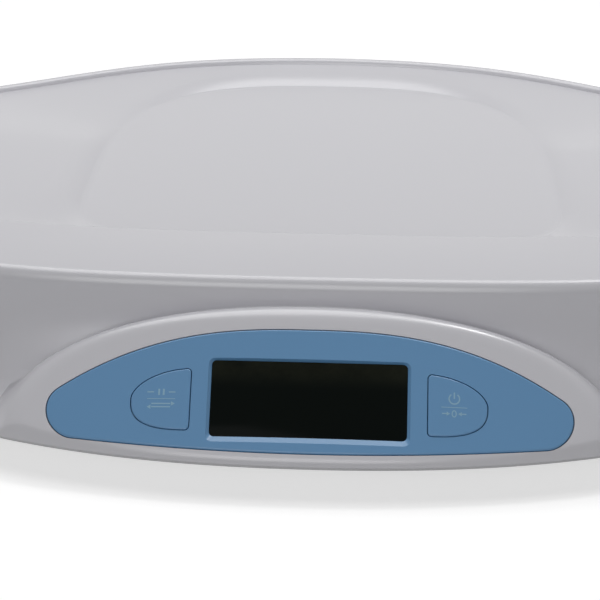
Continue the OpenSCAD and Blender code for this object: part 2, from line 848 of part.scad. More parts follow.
// Points of a smooth curve through a few chosen ones.
function through(p, steps) =
    let (n = len(p))
    [for (i = [0:n - 2], k = [0:steps - (i == n - 2 ? 0 : 1)])
        let (t = k / steps,
             a = p[max(0, i - 1)], b = p[i], c = p[i + 1], d = p[min(n - 1, i + 2)])
        0.5 * (2 * b + (c - a) * t + (2 * a - 5 * b + 4 * c - d) * t * t
               + (3 * b - a - 3 * c + d) * t * t * t)];

lead_r = 1.1;
lead_over = 3;
lead_clear = 0.3;
lead_rise = 4;
battery_lead_x = 6;
lead_turn_y = y_front + 58;
battery_lead_h = plate_top + 12;
socket_end = board_back + socket_depth;
function face_point(x, y, depth) =
    [x, face_y + y * cos(face_tilt) + depth * sin(face_tilt),
     face_h + y * sin(face_tilt) - depth * cos(face_tilt)];
function socket_approach(x) = [for (far = [14, 5, 0]) face_point(x, socket_y, socket_end + far)];

module cell_lead(i) {
    p = foot_spots[i];
    side = p[0] < 0 ? -1 : 1;
    back = p[1] > 0 ? 1 : 0;
    start = [p[0] - side * 2, p[1], load_cell_low + load_cell_t + lead_clear];
    over = well_top + lead_over;
    middle = back
        ? [[foot_span_x / 2 - 42, foot_span_y / 2 - 14], [60, -8], [44, -60], [20, lead_turn_y + 19]]
        : [[foot_span_x / 2 - 30, -foot_span_y / 2 - 8], [80, lead_turn_y + 17], [36, lead_turn_y + 7]];
    plug_x = side * (back ? 7 : 12);
    color("white")
        cable(through(concat([start, start + [0, 0, lead_rise],
                              start + [-side * 2 * lead_rise, 0, over - start[2]]],
                             [for (m = middle) [side * m[0], m[1], over]],
                             socket_approach(plug_x)), 4), lead_r, 8);
}

module battery_leads() {
    color("firebrick")
        for (side = [-1, 1])
            let (start = [side * battery_lead_x, battery_y - box_l / 2 - box_wall, box_top - 4],
                 inner_x = side * battery_lead_x / 2,
                 plug_x = side * 0.4 * battery_lead_x,
                 high = battery_lead_h)
            cable(through(concat([start, start + [-side, -5, 0], [inner_x, start[1] - 30, high + 3],
                                  [inner_x, lead_turn_y + 47, high], [plug_x, lead_turn_y + 5, high]],
                                 socket_approach(plug_x)), 4), lead_r, 8);
}

tray_shell();
base_shell();
control_panel();
display_lens();
lcd_glass();
lcd_frame();
contact_strips();
backlight_panel();
main_board();
board_parts();
cable_socket();
hold_button();
zero_button();
hold_plunger();
zero_plunger();
hold_switch();
zero_switch();
board_screws();
case_screws();
battery_box();
battery_door();
battery_contacts();
battery_leads();
battery(0);  // battery_1
battery(1);  // battery_2
battery(2);  // battery_3
battery(3);  // battery_4
load_cell(foot_spots[0]);  // load_cell_fl
load_cell(foot_spots[1]);  // load_cell_fr
load_cell(foot_spots[2]);  // load_cell_bl
load_cell(foot_spots[3]);  // load_cell_br
retainer(foot_spots[0]);  // retainer_fl
retainer(foot_spots[1]);  // retainer_fr
retainer(foot_spots[2]);  // retainer_bl
retainer(foot_spots[3]);  // retainer_br
foot_cup(foot_spots[0]);  // foot_cup_fl
foot_cup(foot_spots[1]);  // foot_cup_fr
foot_cup(foot_spots[2]);  // foot_cup_bl
foot_cup(foot_spots[3]);  // foot_cup_br
foot_pad(foot_spots[0]);  // foot_pad_fl
foot_pad(foot_spots[1]);  // foot_pad_fr
foot_pad(foot_spots[2]);  // foot_pad_bl
foot_pad(foot_spots[3]);  // foot_pad_br
cell_lead(0);  // cell_lead_fl
cell_lead(1);  // cell_lead_fr
cell_lead(2);  // cell_lead_bl
cell_lead(3);  // cell_lead_br
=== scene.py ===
"""Digital baby weighing scale: the visible pieces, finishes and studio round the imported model.

Each piece has its own operator, which the main function calls in order. Sizes and colours are
properties, so they can be changed in the sidebar. Shapes are worked out in millimetres, on the
same lines as the part itself, and put into the meshes in metres.
"""

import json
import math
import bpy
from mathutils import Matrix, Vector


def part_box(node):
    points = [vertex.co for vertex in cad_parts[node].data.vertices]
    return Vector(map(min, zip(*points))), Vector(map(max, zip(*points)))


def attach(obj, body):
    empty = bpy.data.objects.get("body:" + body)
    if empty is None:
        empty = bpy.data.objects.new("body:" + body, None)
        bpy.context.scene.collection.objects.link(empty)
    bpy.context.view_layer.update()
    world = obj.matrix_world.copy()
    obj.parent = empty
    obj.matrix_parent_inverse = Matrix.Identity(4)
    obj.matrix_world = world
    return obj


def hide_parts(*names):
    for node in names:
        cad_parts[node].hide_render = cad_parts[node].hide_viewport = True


bl_info = {
    "name": "Baby Weighing Scale",
    "version": (1, 0, 0),
    "blender": (4, 5, 0),
    "location": "View3D > Sidebar > Scale",
    "description": "Builds the pieces, finishes and studio of a digital baby weighing scale",
    "category": "Add Mesh",
}

from types import SimpleNamespace

import bmesh
import bpy
import numpy as np
from bpy.props import FloatProperty, FloatVectorProperty, PointerProperty
from mathutils import Matrix, Vector

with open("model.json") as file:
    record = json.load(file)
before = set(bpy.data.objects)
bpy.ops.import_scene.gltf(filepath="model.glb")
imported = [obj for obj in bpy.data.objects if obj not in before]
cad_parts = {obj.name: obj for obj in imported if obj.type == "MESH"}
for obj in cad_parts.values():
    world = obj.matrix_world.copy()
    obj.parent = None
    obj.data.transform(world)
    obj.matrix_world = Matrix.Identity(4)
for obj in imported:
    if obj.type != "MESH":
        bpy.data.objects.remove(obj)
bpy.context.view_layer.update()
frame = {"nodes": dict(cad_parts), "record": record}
MM = 0.001
CORNERS = ("fl", "fr", "bl", "br")


# Properties

def length(name, description, default):
    return FloatProperty(name=name, description=description, default=default * MM, min=0,
                         unit="LENGTH", subtype="DISTANCE", precision=4)


def ratio(name, description, default):
    return FloatProperty(name=name, description=description, default=default, min=0)


def angle(name, description, degrees):
    return FloatProperty(name=name, description=description, default=math.radians(degrees),
                         unit="ROTATION", subtype="ANGLE")


def colour(name, description, default):
    return FloatVectorProperty(name=name, description=description, default=default, size=3,
                               min=0, max=1, subtype="COLOR")


class CasingSizes(bpy.types.PropertyGroup):
    """Sizes of the white casing and its dish."""
    tray_w: length("Tray width", "Length of the tray from end to end", 520)
    tray_d: length("Tray depth", "Depth of the tray from its front lip to its back rim", 302)
    floor_h: length("Floor height", "Height of the flat floor of the tray", 66)
    flange_h: length("Flange height", "Height of the front flange", 71)
    back_rim_h: length("Back rim height", "Height of the rim at the middle of the back", 74)
    end_rim_h: length("End rim height", "Height of the rim at the two ends", 80)
    low_rim_h: length("Low rim height", "Height of the rim at its low points", 70)
    flange_d: length("Flange depth", "Depth of the flat front flange", 51.5)
    rim_w: length("Rim width", "Width of the rim along the ends and the back", 7.5)
    lip_r: length("Lip radius", "Radius of the rolled front lip", 5)
    wall: length("Wall", "Wall thickness of the casing", 2.6)
    floor_w: length("Floor width", "Width of the flat floor between its side creases", 212)
    back_wall_w: length("Back wall width", "Width of the sloping wall behind the floor", 22)
    step_h: length("Step height", "Height of the short step up from the floor", 3.5)
    step_w: length("Step width", "Width of that step", 12)
    console_reach: length("Console reach", "How far the console stands out from the lip", 48)
    skirt_h: length("Skirt height", "Height of the casing's bottom edge", 14)
    arch_w: length("Arch width", "Width of the arched shoulder at its foot", 239)
    arch_h: length("Arch height", "Height of the arched shoulder, up the face", 61.5)
    shoulder_r: length("Shoulder radius", "Radius of the rounded shoulder", 12)
    end_draw_in: length("End draw-in", "How far the foot is drawn in at each end", 10)
    back_draw_in: length("Back draw-in", "How far the foot is drawn in at the back", 15)


class PanelSizes(bpy.types.PropertyGroup):
    """Sizes of the blue panel, its window and its buttons."""
    face_tilt: angle("Face tilt", "Angle of the console's face from the horizontal", 48)
    face_bow_r: length("Face bow", "Radius of the console's bowed face", 700)
    face_h: length("Face height", "Height of the panel's lower edge", 19)
    face_inset: length("Face inset", "Distance back to the panel's lower edge", 2)
    panel_w: length("Panel width", "Width of the blue panel", 204.5)
    panel_h: length("Panel height", "Height of the blue panel, up the face", 49.3)
    corner_r: length("Corner radius", "Radius of the panel's lower corners", 10.6)
    thickness: length("Thickness", "Thickness of the panel", 2.5)
    proud: length("Proud", "How far the panel stands proud of the casing", 0.3)
    gap: length("Gap", "Gap round the panel in its opening", 0.3)
    window_w: length("Window width", "Width of the display window", 76)
    window_h: length("Window height", "Height of the display window", 30.5)
    window_low: length("Window place", "Distance from the panel's lower edge to the window", 6.4)
    window_r: length("Window corner", "Corner radius of the window", 1.9)
    frame_depth: length("Frame depth", "Depth of the sloping frame round the window", 1)
    frame_w: length("Frame width", "Width of the frame at the window's sides", 1.2)
    frame_low_w: length("Lower frame width", "Width of the frame under the window", 2.3)
    lens_depth: length("Lens depth", "Depth of the window's lens below the face", 2.3)
    button_gap: length("Button gap", "Distance between the buttons' straight sides", 91.6)
    button_w: length("Button width", "Width of a button", 23)
    button_h: length("Button height", "Height of a button", 24.3)
    button_mid: length("Button place", "Distance from the panel's lower edge to the buttons", 18.6)
    button_play: length("Button play", "Gap round each button", 0.3)
    button_proud: length("Button proud", "How far a button stands proud of the panel", 0.3)


class FinishColours(bpy.types.PropertyGroup):
    """Colours of the finishes."""
    casing: colour("Casing", "White plastic of the casing", (0.655, 0.65, 0.69))
    base: colour("Base", "Plastic of the base", (0.56, 0.56, 0.575))
    panel: colour("Panel", "Blue plastic of the panel and the buttons", (0.13, 0.31, 0.55))
    legend: colour("Legend", "Printing on the buttons", (0.27, 0.46, 0.60))
    window: colour("Window", "Dark window", (0.004, 0.006, 0.005))
    # A painted reflection: the faint lighter band across the window's upper part
    painted_reflection: colour("Display band", "Faint band of the display behind the window", (0.03, 0.032, 0.02))
    rubber: colour("Rubber", "Pads under the feet", (0.035, 0.035, 0.036))


class StudioSettings(bpy.types.PropertyGroup):
    """Light and camera."""
    top_power: ratio("Top light", "Power of the light above, in watts", 15.4)
    front_power: ratio("Front light", "Power of the light in front, in watts", 12.8)
    key_power: ratio("Key light", "Power of the small bright light, in watts", 4.0)
    ambient: ratio("Ambient", "Strength of the light from all round", 0.05)
    lens: ratio("Lens", "Focal length of the camera, in millimetres", 107.1)


def own_properties(group):
    """The properties that a group declares itself."""
    return [p for p in group.bl_rna.properties if p.identifier not in ("rna_type", "name")]


def sizes(group):
    """The lengths of a property group in millimetres, and its other values as they are."""
    found = {}
    for prop in own_properties(group):
        value = getattr(group, prop.identifier)
        found[prop.identifier] = value / MM if prop.unit == "LENGTH" else value
    return SimpleNamespace(**found)


# The casing's lines follow the part's: rays from the middle of the dish cross four ovals. Lengths
# are in millimetres. A "square" is an oval's exponent: 2 makes an ellipse, and more is squarer.

Y_MID = 10
FLOOR_SQUARE, FLOOR_FRONT_SQUARE = 2.8, 6
RIM_SQUARE, FLANGE_SQUARE, LIP_SQUARE = 1.83, 4, 3
FOOT_SQUARE, FOOT_FRONT_SQUARE = 2, 2.2
FRONT_STEP_W = 3
STEP_SHARE = 0.45
STEP_SOFTNESS = 4.0
RISE_POWER = 1.5
FLANGE_RISE_POWER = 4
WALL_TOP_R = 2.5
LEAST_TOP_R = 0.4
RIM_FLAT_W = 0.8
INNER_SHARE = 0.3
LIP_DROP = 2
FRONT_FROM, FRONT_OVER = 0.1, 0.5
LEAST_BLEND, COVE_BLEND, BLEND_END = 0.1, 18, 0.25
ARCH_SQUARE = 2.15
SHOULDER_LEAD = 0.75
SIDE_END = 0.98
FOOT_EDGE_R = 0.7
FOOT_TURN_GAP = 0.1

# Columns and rings of the skin's mesh
FRONT_SPAN = 135
FRONT_COLUMNS = 149
ROUND_COLUMNS = 230
RAY_FLATNESS = 0.55
DISH_STEPS = np.concatenate([np.linspace(0, 0.1, 12), np.linspace(0.14, 1, 24)])
FLOOR_STEPS = (0, 0.3, 0.6, 0.85, 0.97)
SIDE_ROWS = 56

# Console, panel, window and buttons
OPENING_EDGE_R = 0.55
PANEL_TIP_ANGLE = 52
PANEL_BOW_POWER = 2.52
PANEL_RIM_R = 0.8
PANEL_EDGE_R = 0.5
PANEL_WALL_W = 2
PANEL_WALL_H = 2.9
FRAME_HIGH_W = 0.5
FRAME_CORNER_R = 0.6
CUT_LOW, CUT_HIGH = -6, 5
LENS_T = 1.1
LENS_CORNER_R = 1
LENS_EDGE_R = 0.15
LENS_MARGINS = (3, 2, 2)
# Where the painted reflection in the window starts and ends, as shares of the window's height
REFLECTION_FROM, REFLECTION_TO = 0.55, 1.05
BUTTON_CORNER_R = 1.6
BUTTON_SQUARES = (2.8, 1.8)
CAP_LOW = -7
CAP_BOW_ABOVE = -2
CAP_EDGE_R = 0.6
CAP_FLANGE_W, CAP_FLANGE_T = 1, 1
MARK_SHIFTS = {-1: 0.3, 1: 1.4}
MARK_SUNK, MARK_PROUD = 0.05, 0.04

# Feet
CUP_R = 15
CUP_BOSS_R = 4
CUP_FLANGE_Z = 14.3
CUP_FLANGE_T = 1.6
PAD_SEAT_R = 13.6
PAD_RECESS = 1.3
TREAD_DEPTH = 0.35

# The camera's angles in degrees, and its place from the middle of the lip
CAMERA_TURN, CAMERA_DOWN, CAMERA_ROLL = 2.2, 24, 0.5
CAMERA_PLACE = (19.795, -641.921, 348.593)
SENSOR_W = 36
LAMPS_AIM = (0, 0, 0.05)


def ramp(x):
    """A smooth rise from 0 to 1 as x does the same."""
    t = np.clip(x, 0, 1)
    return t * t * (3 - 2 * t)


def soft_max(a, b, k):
    """The greater of two values, rounded where they differ by less than k."""
    d = b - a
    return np.where(d > k, b, np.where(d < -k, a, a + (d + k) ** 2 / (4 * k)))


class CasingForm:
    """Points of the casing's skin, in millimetres."""

    def __init__(self, casing, panel):
        self.c, self.p = casing, panel
        self.y_back = (casing.tray_d + casing.console_reach) / 2
        self.y_front = -self.y_back
        self.y_lip = self.y_front + casing.console_reach
        self.face_y = self.y_front + panel.face_inset
        self.tan = math.tan(panel.face_tilt)
        self.cos = math.cos(panel.face_tilt)
        self.sin = math.sin(panel.face_tilt)

    def rays(self):
        """Directions of the rays: evenly spaced across the console, then round the dish."""
        reach = Y_MID - self.y_front
        edge = math.atan2(FRONT_SPAN, reach)
        start = math.atan2(-math.cos(edge) / RAY_FLATNESS, math.sin(edge))
        turn = math.pi - 2 * start
        front = (2 * np.arange(FRONT_COLUMNS) / FRONT_COLUMNS - 1) * FRONT_SPAN
        t = start + turn * np.arange(ROUND_COLUMNS) / ROUND_COLUMNS
        return np.concatenate([np.arctan2(-reach, front),
                               np.arctan2(RAY_FLATNESS * np.sin(t), np.cos(t))])

    @staticmethod
    def oval(a, grow, half_w, back, front, square_back, square_front):
        """Distance to an oval along a ray; its back and front halves differ in depth."""
        s = np.sin(a)
        half_d = np.where(s > 0, back + grow, front + grow)
        n = np.where(s > 0, square_back, square_front)
        return ((np.abs(np.cos(a)) / (half_w + grow)) ** n + (np.abs(s) / half_d) ** n) ** (-1 / n)

    def floor_oval(self, a, grow=0):
        c = self.c
        return self.oval(a, grow, c.floor_w / 2, self.y_back - c.rim_w - c.back_wall_w - Y_MID,
                         Y_MID - self.y_lip - c.flange_d - FRONT_STEP_W,
                         FLOOR_SQUARE, FLOOR_FRONT_SQUARE)

    def inner_oval(self, a, grow=0):
        c = self.c
        return self.oval(a, grow, c.tray_w / 2 - c.rim_w, self.y_back - c.rim_w - Y_MID,
                         Y_MID - self.y_lip - c.flange_d, RIM_SQUARE, FLANGE_SQUARE)

    def outer_oval(self, a, grow=0):
        return self.oval(a, grow, self.c.tray_w / 2, self.y_back - Y_MID, Y_MID - self.y_lip,
                         RIM_SQUARE, LIP_SQUARE)

    def foot_oval(self, a, grow=0):
        c = self.c
        return self.oval(a, grow, c.tray_w / 2 - c.end_draw_in,
                         self.y_back - c.back_draw_in - Y_MID, Y_MID - self.y_front,
                         FOOT_SQUARE, FOOT_FRONT_SQUARE)

    def rim_h(self, a):
        """Height of the rim: high at the ends, with a low point either side of the back."""
        c = self.c
        across = np.minimum(1, np.abs(self.outer_oval(a) * np.cos(a) / (c.tray_w / 2)))
        high = c.back_rim_h + (c.end_rim_h - c.back_rim_h) * across ** 2
        dip = (c.back_rim_h + c.end_rim_h) / 2 - c.low_rim_h
        behind = high - dip * ((1 - np.cos(4 * np.arccos(across))) / 2) ** 2
        before = c.flange_h + (c.end_rim_h - c.flange_h) * across ** FLANGE_RISE_POWER
        return np.where(np.sin(a) > 0, behind, before)

    def sag(self, x):
        """How far the bowed face falls back at a distance from its middle."""
        r = self.p.face_bow_r
        return r - np.sqrt(r * r - x * x)

    def lift(self, x):
        """How far a level line climbs up the face because of its bow."""
        return self.sag(x) / self.tan

    def face_z(self, x, y):
        """Height of the bowed face above a point."""
        return self.p.face_h + (y - self.face_y) * self.tan - self.sag(x) / self.cos

    def arch_drop(self, x, y, inward):
        """How far the rounded shoulder falls below the face."""
        c = self.c
        s = np.maximum(0, (y - self.face_y) / self.cos - self.sag(x) / self.sin / self.cos)
        a, b = c.arch_w / 2 - inward / 2, c.arch_h - inward / 2
        n = ARCH_SQUARE
        rho = np.maximum(0.001, ((np.abs(x) / a) ** n + (s / b) ** n) ** (1 / n))
        past = np.hypot(x, s) * (1 - 1 / rho)
        bend = np.maximum(0, past + SHOULDER_LEAD * c.shoulder_r)
        return bend * bend / (2 * c.shoulder_r)

    def ring(self, r, a, z):
        """Points at a distance along each ray, at a height."""
        return np.stack([r * np.cos(a), Y_MID + r * np.sin(a), z + 0 * a], -1)

    def side(self, a, v, inward):
        """A ring of the side: cove and console in front, a plain wall elsewhere."""
        c = self.c
        front = ramp((-np.sin(a) - FRONT_FROM) / FRONT_OVER)
        out = front * (1 - math.cos(math.pi / 2 * v)) + (1 - front) * v
        down = front * math.sin(math.pi / 2 * v) + (1 - front) * v
        r = self.outer_oval(a, -inward) * (1 - out) + self.foot_oval(a, -inward) * out
        x, y = r * np.cos(a), Y_MID + r * np.sin(a)
        top = self.rim_h(a) - c.lip_r - LIP_DROP
        cove = top - (top - self.p.face_h + self.p.face_inset + inward) * down
        face = self.face_z(x, y) - self.arch_drop(x, y, inward) - inward / self.cos
        blend = LEAST_BLEND + COVE_BLEND * min(BLEND_END, 1 - v)
        z = np.where(np.sin(a) < 0, soft_max(cove, face, blend), cove)
        return np.stack([x, y, z], -1)

    def dish(self, a, t, inward):
        """A ring of the dish between its floor and its rim: a short step, then a slow rise."""
        c = self.c
        low, high = self.floor_oval(a, INNER_SHARE * inward), self.inner_oval(a, inward)
        total = self.rim_h(a) - WALL_TOP_R - c.floor_h
        step = (c.step_h ** -STEP_SOFTNESS
                + (STEP_SHARE * total) ** -STEP_SOFTNESS) ** (-1 / STEP_SOFTNESS)
        left = 1 - np.minimum(1, t * (high - low) / c.step_w)
        z = c.floor_h - inward + step * (1 - left * left) + (total - step) * t ** RISE_POWER
        return self.ring(low * (1 - t) + high * t, a, z)

    def rows(self, a, inward, floor_steps, dish_steps, top_steps, lip_steps, side_steps):
        """Rings of points from the middle of the floor, over the rim and down to the foot."""
        c = self.c
        h = self.rim_h(a)
        top_r = max(LEAST_TOP_R, WALL_TOP_R - inward)
        edge_h = c.lip_r - inward
        edge_w = min(edge_h, c.rim_w - WALL_TOP_R - inward - RIM_FLAT_W)
        rings = [self.ring(f * self.floor_oval(a), a, c.floor_h - inward) for f in floor_steps]
        rings += [self.dish(a, t, inward) for t in dish_steps]
        rings += [self.ring(self.inner_oval(a, inward + top_r * (1 - math.cos(q))), a,
                            h - inward - top_r * (1 - math.sin(q))) for q in top_steps]
        rings += [self.ring(self.outer_oval(a, -inward - edge_w * (1 - math.sin(q))), a,
                            h - inward - edge_h * (1 - math.cos(q))) for q in lip_steps]
        rings += [self.side(a, v, inward) for v in side_steps]
        return rings

    def foot(self, a):
        """The rounded turn from the face to the foot band, and the band's rounded bottom edge."""
        c, r = self.c, FOOT_EDGE_R
        above, corner = self.side(a, SIDE_END, 0), self.side(a, 1, 0)
        below = self.ring(self.foot_oval(a), a, c.skirt_h + r + FOOT_TURN_GAP)
        rings = [(1 - t) ** 2 * above + 2 * t * (1 - t) * corner + t * t * below
                 for t in np.linspace(0, 1, 8)[1:]]
        for q in np.radians([22.5, 45, 67.5, 90]):
            rings.append(self.ring(self.foot_oval(a, -r * (1 - math.cos(q))), a,
                                   c.skirt_h + r * (1 - math.sin(q))))
        rings.append(self.ring(self.foot_oval(a, -c.wall), a, c.skirt_h))
        return rings

    # Lines on the face, drawn flat: x along the panel and y up the face

    def panel_outline(self):
        """Straight below, with round lower corners and a bowed top."""
        p = self.p
        tip = math.radians(PANEL_TIP_ANGLE)
        tip_x = p.panel_w / 2 - p.corner_r
        arch_x = tip_x + p.corner_r * math.cos(tip)
        fall = p.panel_h - p.corner_r * (1 + math.sin(tip))
        half = [(x, 0) for x in np.linspace(0, tip_x, 16)[:-1]]
        half += arc(tip_x, p.corner_r, p.corner_r, np.linspace(-math.pi / 2, tip, 24))
        half += [(x, p.panel_h - fall * (x / arch_x) ** PANEL_BOW_POWER)
                 for x in np.linspace(arch_x, 0, 60)[1:]]
        outline = half + [(-x, y) for x, y in half[-2:0:-1]]
        return [(x, y + self.lift(x)) for x, y in outline]

    def button_outline(self, side, grow=0.0):
        """Straight towards the window and round away from it; side is -1 or 1."""
        p = self.p
        h, flat, reach, r = p.button_h / 2, p.button_gap / 2, p.button_w, BUTTON_CORNER_R
        quarter = np.radians(np.arange(0, 91, 15))
        raw = arc(flat + r, r - h, r, math.pi + quarter)
        for q in np.radians(np.arange(-84, 75, 4)):
            power = 2 / BUTTON_SQUARES[int(q > 0)]
            raw.append((flat + reach * math.cos(q) ** power,
                        h * math.copysign(abs(math.sin(q)) ** power, q)))
        raw += arc(flat + r, h - r, r, math.pi / 2 + quarter)
        if side < 0:
            raw = [(-x, y) for x, y in reversed(raw)]
        up = p.button_mid + self.lift(flat + reach / 2)
        return [(x, y + up) for x, y in grown(raw, grow)]

    def window_outline(self, side=0.0, low=0.0, high=0.0, r=0.0):
        """The window, with its sides, bottom, top and corners let out by a distance."""
        p = self.p
        return rounded_rectangle(-p.window_w / 2 - side, p.window_w / 2 + side, p.window_low - low,
                                 p.window_low + p.window_h + high, p.window_r + r)


def arc(x, y, r, angles):
    """Points round a centre."""
    return [(x + r * math.cos(q), y + r * math.sin(q)) for q in angles]


def grown(outline, by):
    """An outline moved outwards by a distance."""
    pts = np.array(outline, float)
    d = np.roll(pts, -1, 0) - np.roll(pts, 1, 0)
    out = np.stack([d[:, 1], -d[:, 0]], -1) / np.linalg.norm(d, axis=1)[:, None]
    return [tuple(p) for p in pts + by * out]


def rounded_rectangle(x0, x1, y0, y1, r):
    corners = [(x1 - r, y0 + r, -90), (x1 - r, y1 - r, 0),
               (x0 + r, y1 - r, 90), (x0 + r, y0 + r, 180)]
    return [point for x, y, start in corners
            for point in arc(x, y, r, np.radians(np.linspace(start, start + 90, 6)))]


def casing_form():
    scene = bpy.context.scene
    return CasingForm(sizes(scene.scale_casing), sizes(scene.scale_panel))


# Mesh helpers

def only(obj):
    """Leaves one object selected and active."""
    bpy.ops.object.select_all(action="DESELECT")
    obj.select_set(True)
    bpy.context.view_layer.objects.active = obj


def new_object(name, data):
    obj = bpy.data.objects.new(name, data)
    bpy.context.scene.collection.objects.link(obj)
    return obj


def edit(obj, *steps):
    """Runs steps on the whole mesh in edit mode."""
    only(obj)
    bpy.ops.object.mode_set(mode="EDIT")
    bpy.ops.mesh.select_all(action="SELECT")
    for step in steps:
        step()
    bpy.ops.object.mode_set(mode="OBJECT")


def outward(obj):
    edit(obj, lambda: bpy.ops.mesh.normals_make_consistent(inside=False))


def merge_doubles():
    bpy.ops.mesh.remove_doubles(threshold=1e-6)


def points_of(obj):
    co = np.zeros(len(obj.data.vertices) * 3)
    obj.data.vertices.foreach_get("co", co)
    return co.reshape(-1, 3)


def put_points(obj, co):
    obj.data.vertices.foreach_set("co", np.ascontiguousarray(co, float).ravel())
    obj.data.update()


def shape(obj, change):
    """Moves every point of a mesh by a rule on its coordinates in millimetres."""
    put_points(obj, change(points_of(obj) / MM) * MM)


def apply_modifier(obj, kind, **values):
    only(obj)
    bpy.ops.object.modifier_add(type=kind)
    modifier = obj.modifiers[-1]
    for key, value in values.items():
        setattr(modifier, key, value)
    bpy.ops.object.modifier_apply(modifier=modifier.name)


def round_edges(obj, width, segments=3, degrees=40):
    apply_modifier(obj, "BEVEL", width=width * MM, segments=segments,
                   limit_method="ANGLE", angle_limit=math.radians(degrees))


def cut(obj, cutter):
    """Cuts one mesh out of another, and removes it."""
    apply_modifier(obj, "BOOLEAN", operation="DIFFERENCE", solver="EXACT", object=cutter)
    bpy.data.objects.remove(cutter)


def join(name, pieces):
    """Makes one named piece of one or more meshes."""
    only(pieces[0])
    for piece in pieces:
        piece.select_set(True)
    if len(pieces) > 1:
        bpy.ops.object.join()
    obj = bpy.context.view_layer.objects.active
    obj.name = obj.data.name = name
    return obj


def smooth(obj, degrees=35):
    only(obj)
    bpy.ops.object.shade_smooth_by_angle(angle=math.radians(degrees))


def smooth_flat_faces(obj, degrees=35):
    """Smooth shading that keeps large flat faces even."""
    smooth(obj, degrees)
    apply_modifier(obj, "WEIGHTED_NORMAL", keep_sharp=True)


def plate(name, outline, low, high):
    """A flat plate with that outline, between two heights."""
    bpy.ops.mesh.primitive_circle_add(vertices=len(outline), radius=1, fill_type="NGON")
    obj = bpy.context.object
    obj.name = obj.data.name = name
    put_points(obj, np.array([(x, y, low) for x, y in outline]) * MM)
    edit(obj, lambda: bpy.ops.mesh.extrude_region_move(
        TRANSFORM_OT_translate={"value": (0, 0, (high - low) * MM)}))
    outward(obj)
    return obj


def slice_across(obj, step):
    """Cuts a mesh by planes across X, so that it can be bowed."""
    x = points_of(obj)[:, 0] / MM

    def slices():
        for place in np.arange(math.ceil(x.min() / step) * step, x.max(), step):
            bpy.ops.mesh.select_all(action="SELECT")
            bpy.ops.mesh.bisect(plane_co=(place * MM, 0, 0), plane_no=(1, 0, 0))
    edit(obj, slices)


def lay_on_face(obj, form):
    """Turns a thing drawn flat, with x along the panel and y up the face, onto the console."""
    def tilted(co):
        x, y, z = co.T
        return np.stack([x, form.face_y + y * form.cos - z * form.sin,
                         form.p.face_h + y * form.sin + z * form.cos], -1)
    shape(obj, tilted)


def bow(obj, form, above=-math.inf):
    """Bows what lies above a height, in a thing drawn flat, as the face is bowed."""
    def bowed(co):
        x, y, z = co.T
        return np.stack([x, y, np.where(z > above, z - form.sag(x), z)], -1)
    shape(obj, bowed)


def paint(obj, material):
    obj.data.materials.clear()
    obj.data.materials.append(material)


def hand_over(obj, body, slot, material, *nodes):
    """Gives a finished piece its material and its body, and hides the nodes it stands for; its slot
    is not used.
    """
    paint(obj, material)
    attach(obj, body)
    if nodes:
        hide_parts(*nodes)


# Material helpers

def new_group(name, inputs, output):
    """A shader group with named inputs, each a number or a colour, and one named output."""
    group = bpy.data.node_groups.new(name, "ShaderNodeTree")
    for label, default in inputs.items():
        kind = "NodeSocketFloat" if isinstance(default, float) else "NodeSocketColor"
        socket = group.interface.new_socket(name=label, in_out="INPUT", socket_type=kind)
        socket.default_value = default
    kind = "NodeSocketColor" if output == "Color" else "NodeSocketFloat"
    group.interface.new_socket(name=output, in_out="OUTPUT", socket_type=kind)
    return group, group.nodes.new("NodeGroupInput"), group.nodes.new("NodeGroupOutput")


def node(tree, kind, **values):
    """A new node with the values of its inputs or its settings."""
    found = tree.nodes.new(kind)
    for key, value in values.items():
        if key in found.inputs:
            found.inputs[key].default_value = value
        else:
            setattr(found, key, value)
    return found


def place_on_object(tree):
    return node(tree, "ShaderNodeTexCoord").outputs["Object"]


def feed(tree, socket, value):
    """Gives an input a number or another node's output."""
    if isinstance(value, (int, float)):
        socket.default_value = value
    else:
        tree.links.new(value, socket)


def noise(tree, scale, detail=2.0, roughness=0.5):
    """Noise over the object; its scale is a number or another node's output."""
    found = node(tree, "ShaderNodeTexNoise", Detail=detail, Roughness=roughness)
    tree.links.new(place_on_object(tree), found.inputs["Vector"])
    feed(tree, found.inputs["Scale"], scale)
    return found.outputs["Fac"]


def maths(tree, operation, a, b):
    """A sum or a product of two values, each a number or another node's output."""
    found = node(tree, "ShaderNodeMath", operation=operation)
    feed(tree, found.inputs[0], a)
    feed(tree, found.inputs[1], b)
    return found.outputs[0]


